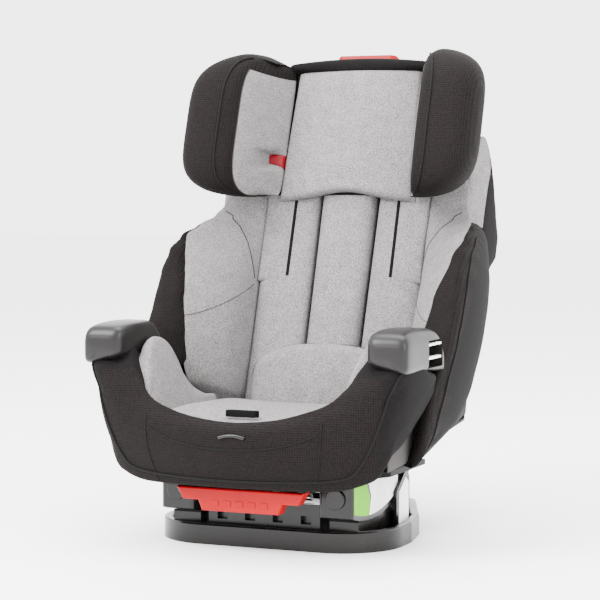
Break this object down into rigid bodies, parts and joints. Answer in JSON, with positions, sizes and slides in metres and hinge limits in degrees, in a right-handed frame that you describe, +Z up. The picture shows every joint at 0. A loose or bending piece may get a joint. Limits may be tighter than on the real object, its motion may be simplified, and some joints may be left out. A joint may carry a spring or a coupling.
{
  "type": "convertible car seat",
  "caption": "Convertible child car seat with a rocking recline base, padded wings, armrests and a sliding winged headrest.",
  "frame": {"origin": "on the floor, under the middle of the seat's bounding box", "axes": "+X to the child's left, +Y to the back of the seat, +Z up"},
  "size_m": [0.5, 0.584, 0.735],
  "materials": {
    "base_plastic": "satin moulded, fine grain",
    "shell_plastic": "satin moulded",
    "armrest_plastic": "satin charcoal, fine grain",
    "red_plastic": "satin coral red",
    "trim_white": "smooth",
    "steel": "zinc plated",
    "black_fabric": "warm charcoal knit and grid mesh",
    "heather_fabric": "light grey heather knit"
  },
  "bodies": {
    "base": {"base_pan": "base_plastic", "cradle_wall_left": "base_plastic", "cradle_wall_right": "base_plastic", "glide_strips": "shell_plastic", "recline_rack": "base_plastic", "base_screws": "steel"},
    "seat": {"seat_pan": "shell_plastic", "rocker_left": "base_plastic", "rocker_right": "base_plastic", "rocker_caps": "base_plastic", "back_shell": "shell_plastic", "rear_cover": "shell_plastic", "anchor_bar": "steel", "side_panel_left": "shell_plastic", "side_panel_right": "shell_plastic", "headrest_rails": "steel", "armrest_left": "armrest_plastic", "armrest_right": "armrest_plastic", "armrest_bars": "trim_white", "shell_screws": "steel", "front_cover": "black_fabric", "adjuster_housing": "shell_plastic", "seat_cushion": "heather_fabric", "crotch_slot_trim": "shell_plastic", "back_pad": "heather_fabric", "lumbar_pad": "heather_fabric", "back_side_pad_left": "heather_fabric", "back_side_pad_right": "heather_fabric", "shoulder_flap_left": "heather_fabric", "shoulder_flap_right": "heather_fabric", "wing_pad_left": "heather_fabric", "wing_pad_right": "heather_fabric", "wing_cover_left": "black_fabric", "wing_cover_right": "black_fabric", "shoulder_pad_left": "heather_fabric", "shoulder_pad_right": "heather_fabric", "shoulder_cover_left": "black_fabric", "shoulder_cover_right": "black_fabric", "bolster_pad_left": "heather_fabric", "bolster_pad_right": "heather_fabric", "bolster_cover_left": "black_fabric", "bolster_cover_right": "black_fabric", "handle_springs": "steel"},
    "recline_handle_body": {"recline_handle": "red_plastic", "latch_bar": "steel", "handle_rods": "steel"},
    "adjuster_lever_body": {"adjuster_lever": "shell_plastic"},
    "headrest": {"headrest_shell": "shell_plastic", "headrest_carriage": "shell_plastic", "headrest_pad": "heather_fabric", "headrest_top_band": "black_fabric", "headrest_wing_pad_left": "heather_fabric", "headrest_wing_pad_right": "heather_fabric", "headrest_wing_cover_left": "black_fabric", "headrest_wing_cover_right": "black_fabric", "belt_guide_left": "red_plastic", "belt_guide_right": "red_plastic"},
    "headrest_release": {"release_handle": "red_plastic", "release_rod": "steel"}
  },
  "joints": [
    {"name": "recline", "type": "hinge", "parent": "base", "child": "seat", "pos_m": [0, -0.12, 0.321], "axis": [-1, 0, 0], "range_deg": [0, 16]},
    {"name": "recline_handle_pull", "type": "slide", "parent": "seat", "child": "recline_handle_body", "axis": [0, -1, 0], "range_m": [0, 0.012], "stiffness_N_per_m": 600},
    {"name": "headrest_slide", "type": "slide", "parent": "seat", "child": "headrest", "axis": [0, 0.314, 0.9494], "range_m": [-0.025, 0.09]},
    {"name": "headrest_release_pull", "type": "slide", "parent": "headrest", "child": "headrest_release", "axis": [0, 0.314, 0.9494], "range_m": [0, 0.008], "stiffness_N_per_m": 600},
    {"name": "adjuster_press", "type": "hinge", "parent": "seat", "child": "adjuster_lever_body", "pos_m": [0, -0.268, 0.179], "axis": [1, 0, 0], "range_deg": [0, 14], "stiffness_Nm_per_rad": 0.5}
  ]
}
